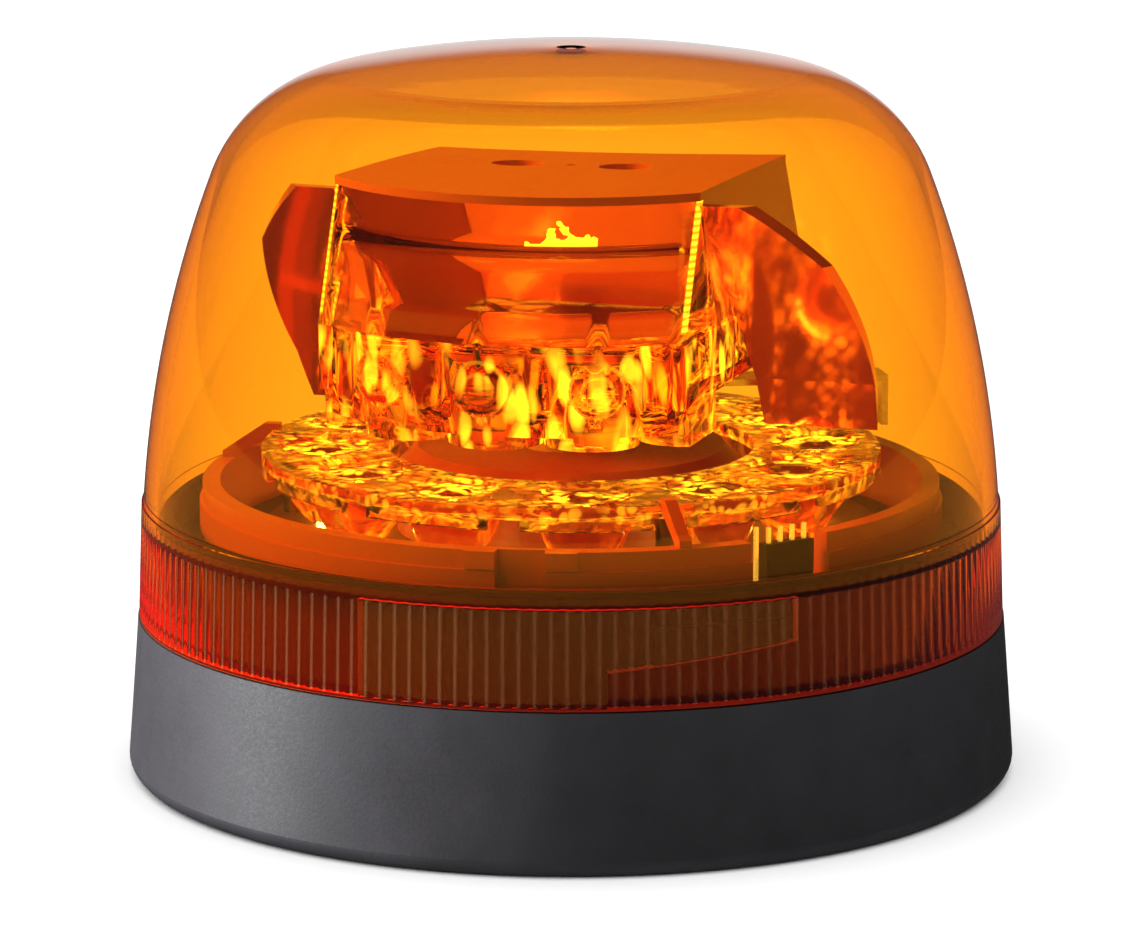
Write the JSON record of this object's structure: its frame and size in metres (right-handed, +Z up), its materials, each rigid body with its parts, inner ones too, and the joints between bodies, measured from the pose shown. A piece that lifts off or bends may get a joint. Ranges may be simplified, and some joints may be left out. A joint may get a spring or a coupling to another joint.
{
  "type": "rotating beacon",
  "caption": "Flat-mount rotating beacon: amber bayonet dome with a fluted skirt over a turning prism rotor, a ring of collimated lamps, a direct-drive motor and a round black base.",
  "frame": {"origin": "centre of the foot, on the plane of the mounting surface", "axes": "+Z up along the rotor's axis; -Y is the front, where the dome's framed bayonet panel faces at rest"},
  "size_m": [0.165, 0.165, 0.1341],
  "materials": {
    "base_plastic": "fine grained black moulding",
    "seal_rubber": "matte",
    "insert_brass": "turned, knurled",
    "vent_plastic": "matte",
    "board_laminate": "green solder mask",
    "screw_steel": "zinc plated",
    "capacitor_aluminium": "satin can",
    "choke_core": "ferrite grey",
    "chip_plastic": "moulded resin",
    "connector_plastic": "moulded",
    "sink_aluminium": "die cast, blasted",
    "lamp_board_laminate": "white solder mask",
    "lamp_resin": "clear resin over phosphor",
    "pin_brass": "gold plated",
    "clear_optic": "polished clear plastic",
    "carrier_plastic": "light moulding",
    "cover_plastic": "dark moulding",
    "tube_aluminium": "turned",
    "bearing_steel": "ground",
    "core_steel": "stamped laminations",
    "coil_copper": "enamelled copper wire",
    "magnet_ferrite": "ground ferrite",
    "yoke_steel": "drawn and plated",
    "shaft_steel": "ground",
    "clip_steel": "blackened spring steel",
    "hub_plastic": "dark moulding",
    "prism_optic": "polished clear plastic",
    "mirror_coating": "vacuum metallised",
    "reflector_plastic": "metallised plastic plate",
    "rotor_cover_plastic": "light moulding",
    "black_screw": "blackened steel",
    "weight_steel": "sawn and plated",
    "flag_steel": "stamped sheet",
    "dome_seal_rubber": "matte",
    "amber_dome": "polished amber polycarbonate"
  },
  "bodies": {
    "base": {"base_housing": "base_plastic", "mounting_gasket": "seal_rubber", "thread_inserts": "insert_brass", "cable_grommet": "seal_rubber", "vent_plug": "vent_plastic", "control_board": "board_laminate", "board_screws": "screw_steel", "capacitors": "capacitor_aluminium", "choke": "choke_core", "driver_chips": "chip_plastic", "link_connector": "connector_plastic", "heat_sink": "sink_aluminium", "plate_screws": "screw_steel", "led_board": "lamp_board_laminate", "lamps": "lamp_resin", "pin_header": "connector_plastic", "header_pins": "pin_brass", "collimator_optic": "clear_optic", "optic_carrier": "carrier_plastic", "carrier_screws": "screw_steel", "centre_cover": "cover_plastic", "bearing_tube": "tube_aluminium", "upper_bearing": "bearing_steel", "lower_bearing": "bearing_steel", "stator_core": "core_steel", "stator_coils": "coil_copper", "motor_screws": "screw_steel"},
    "rotor": {"magnet_ring": "magnet_ferrite", "motor_yoke": "yoke_steel", "rotor_shaft": "shaft_steel", "shaft_clip": "clip_steel", "rotor_hub": "hub_plastic", "rotor_prism": "prism_optic", "left_reflector": "reflector_plastic", "right_reflector": "reflector_plastic", "rear_mirror": "mirror_coating", "rotor_cover": "rotor_cover_plastic", "hub_screws": "black_screw", "counterweight": "weight_steel", "weight_screws": "screw_steel", "position_flag": "flag_steel"},
    "seal": {"dome_seal": "dome_seal_rubber"},
    "dome": {"dome": "amber_dome"}
  },
  "joints": [
    {"name": "rotor_spin", "type": "hinge", "parent": "base", "child": "rotor", "pos_m": [0, 0, 0.06], "axis": [0, 0, 1], "continuous": true},
    {"name": "dome_turn", "type": "hinge", "parent": "base", "child": "seal", "pos_m": [0, 0, 0.03], "axis": [0, 0, 1], "range_deg": [0, 26]},
    {"name": "dome_lift", "type": "slide", "parent": "seal", "child": "dome", "axis": [0, 0, 1], "range_m": [0, 0.13]}
  ]
}
